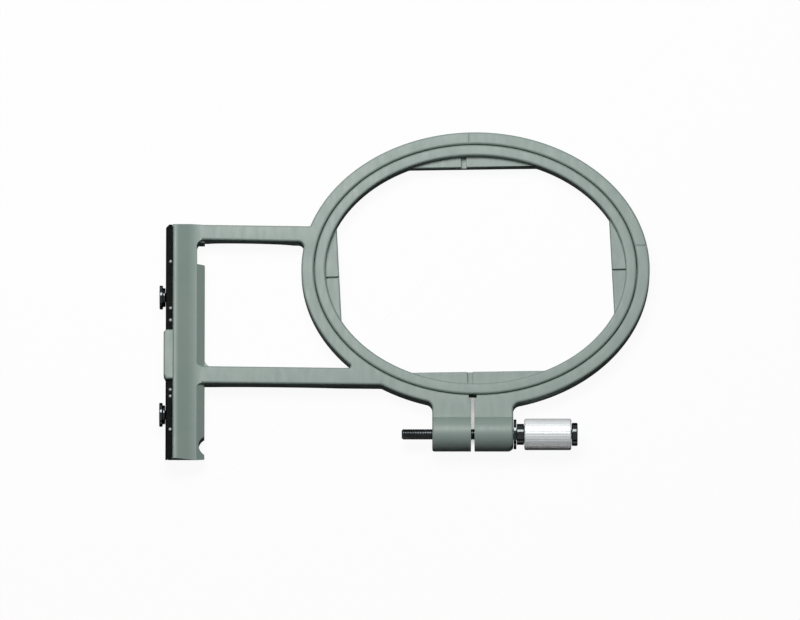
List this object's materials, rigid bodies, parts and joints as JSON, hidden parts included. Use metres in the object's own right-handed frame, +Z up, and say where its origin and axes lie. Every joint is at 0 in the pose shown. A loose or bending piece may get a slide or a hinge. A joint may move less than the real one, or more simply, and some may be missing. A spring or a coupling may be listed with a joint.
{
  "type": "machine embroidery hoop",
  "caption": "Oval embroidery hoop: split outer ring on two arms and a connector bar, lift-out inner ring with field tabs, and a thumb screw that clamps the ring.",
  "frame": {"origin": "middle of the outline seen from above, on the table that the hoop lies on", "axes": "+X along the hoop from the connector bar to the ring, +Y across it away from the clamp screw, +Z up"},
  "size_m": [0.2336, 0.1608, 0.0164],
  "materials": {
    "grey_plastic": "satin moulded grey-green plastic",
    "polished_steel": "polished turned steel",
    "bright_metal": "bright knurled metal",
    "black_steel": "blackened sheet steel",
    "zinc_steel": "zinc-plated steel"
  },
  "bodies": {
    "frame": {"outer_frame": "grey_plastic", "clamp_nut": "zinc_steel", "connector_plate": "black_steel", "upper_stud": "polished_steel", "upper_stud_nut": "zinc_steel", "lower_stud": "polished_steel", "lower_stud_nut": "zinc_steel", "plate_rivet_1": "bright_metal", "plate_rivet_2": "bright_metal", "plate_rivet_3": "bright_metal", "plate_rivet_4": "bright_metal", "plate_rivet_5": "bright_metal", "plate_rivet_6": "bright_metal"},
    "inner_ring": {"inner_ring": "grey_plastic"},
    "washer": {"thrust_washer": "polished_steel"},
    "thumb_screw": {"clamp_screw": "polished_steel", "knob_sleeve": "bright_metal", "knob_end_cap": "polished_steel"}
  },
  "joints": [
    {"name": "inner_ring_lift", "type": "slide", "parent": "frame", "child": "inner_ring", "axis": [0, 0, 1], "range_m": [0, 0.03]},
    {"name": "screw_travel", "type": "slide", "parent": "frame", "child": "washer", "axis": [1, 0, 0], "range_m": [0, 0.0048]},
    {"name": "knob_turn", "type": "hinge", "parent": "washer", "child": "thumb_screw", "pos_m": [0.06, -0.06742, 0.0082], "axis": [1, 0, 0], "range_deg": [0, 2162]}
  ],
  "couplings": [
    {"joint": "knob_turn", "follows": "screw_travel", "rad_per_m": 7854}
  ]
}
